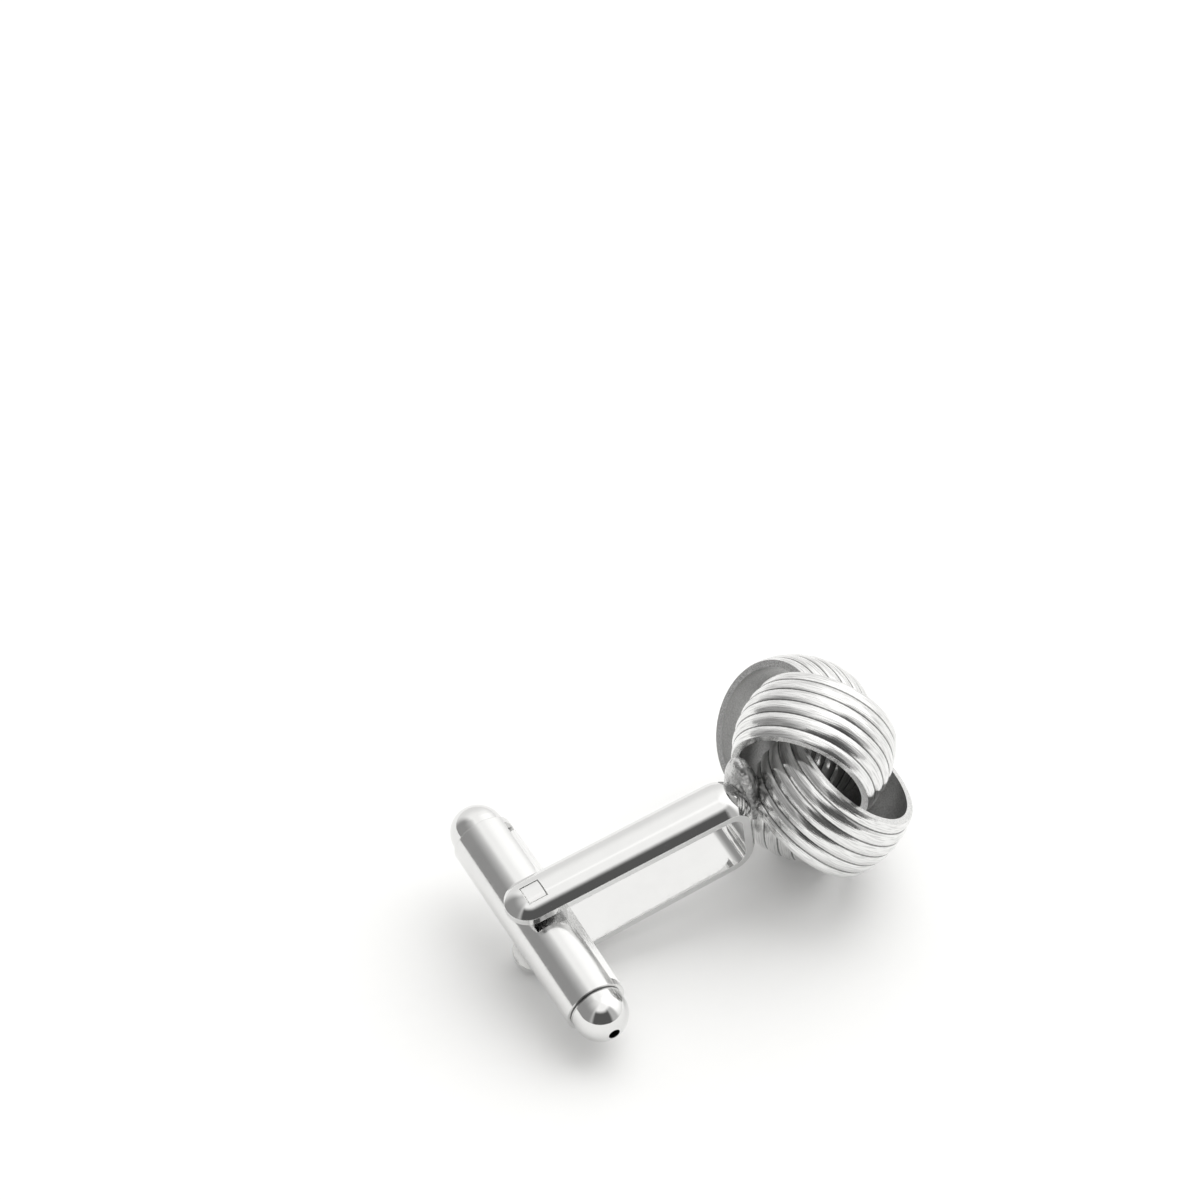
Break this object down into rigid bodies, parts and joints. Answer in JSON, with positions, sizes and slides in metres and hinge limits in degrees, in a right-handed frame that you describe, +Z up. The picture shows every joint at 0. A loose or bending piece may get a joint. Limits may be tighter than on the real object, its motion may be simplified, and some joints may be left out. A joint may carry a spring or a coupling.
{
  "type": "cufflink",
  "caption": "Knot cufflink of polished metal: ribbed bands linked to a knot, a U-shaped post frame and a domed toggle that swivels on a square pin.",
  "frame": {"origin": "on the ground under the middle of the part's box, lying as in the picture", "axes": "+X from the toggle to the knot, +Y along the toggle to its far end, +Z up"},
  "size_m": [0.0292, 0.0198, 0.0155],
  "materials": {
    "polished_silver": "mirror polished",
    "solder": "rough",
    "spring_steel": "rolled"
  },
  "bodies": {
    "post": {"knot_band_1": "polished_silver", "knot_band_2": "polished_silver", "knot_band_3": "polished_silver", "knot_band_4": "polished_silver", "knot_solder": "solder", "post_frame": "polished_silver", "pivot_pin": "polished_silver"},
    "toggle": {"toggle_barrel": "polished_silver", "toggle_spine": "polished_silver", "detent_spring": "spring_steel", "end_cap_1": "polished_silver", "end_cap_2": "polished_silver"}
  },
  "joints": [
    {"name": "toggle_swivel", "type": "hinge", "parent": "post", "child": "toggle", "pos_m": [-0.01204, 0.00003, 0.00407], "axis": [-0.1609, -0.1552, 0.9747], "range_deg": [-90, 90]}
  ]
}
